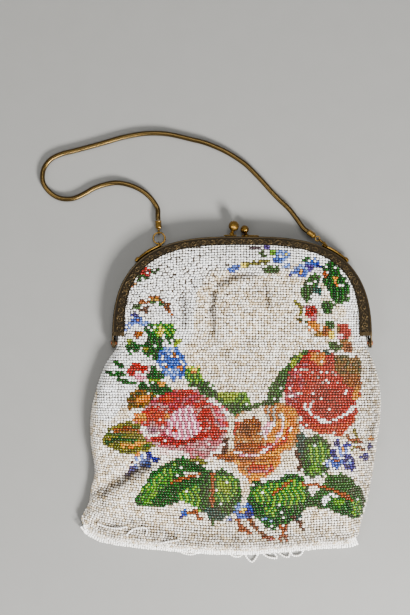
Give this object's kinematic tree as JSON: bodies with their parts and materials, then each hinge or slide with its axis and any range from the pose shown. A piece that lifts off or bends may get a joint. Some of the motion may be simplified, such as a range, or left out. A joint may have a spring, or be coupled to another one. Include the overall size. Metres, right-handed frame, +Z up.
{
  "type": "handbag",
  "caption": "Small beaded handbag with an arched embossed brass frame, kiss clasp, snake chain handle and a fringe of short bead loops, lying on its back",
  "frame": {"origin": "middle of the bounding box of the bag, frame and chain, at its lowest: the surface it lies on", "axes": "+X to the right of the bag as seen from its front, +Y from the hem to the clasp, +Z up out of the bag's front, away from the surface it lies on"},
  "size_m": [0.222, 0.283, 0.0132],
  "materials": {
    "antique_brass": "satin",
    "bright_brass": "polished",
    "copper": "polished",
    "chain_brass": "satin",
    "beads": "gloss",
    "fringe_beads": "gloss"
  },
  "bodies": {
    "root": {"frame_front": "antique_brass", "frame_back": "antique_brass", "hinge_rivet_left": "copper", "hinge_rivet_right": "copper", "clasp_knob_front": "bright_brass", "clasp_knob_back": "bright_brass", "chain_lug_left": "antique_brass", "chain_lug_right": "antique_brass", "jump_ring_left": "bright_brass", "jump_ring_right": "bright_brass", "chain_end_left": "bright_brass", "chain_end_right": "bright_brass", "snake_chain": "chain_brass", "beaded_bag": "beads", "loop_fringe": "fringe_beads"}
  },
  "joints": []
}
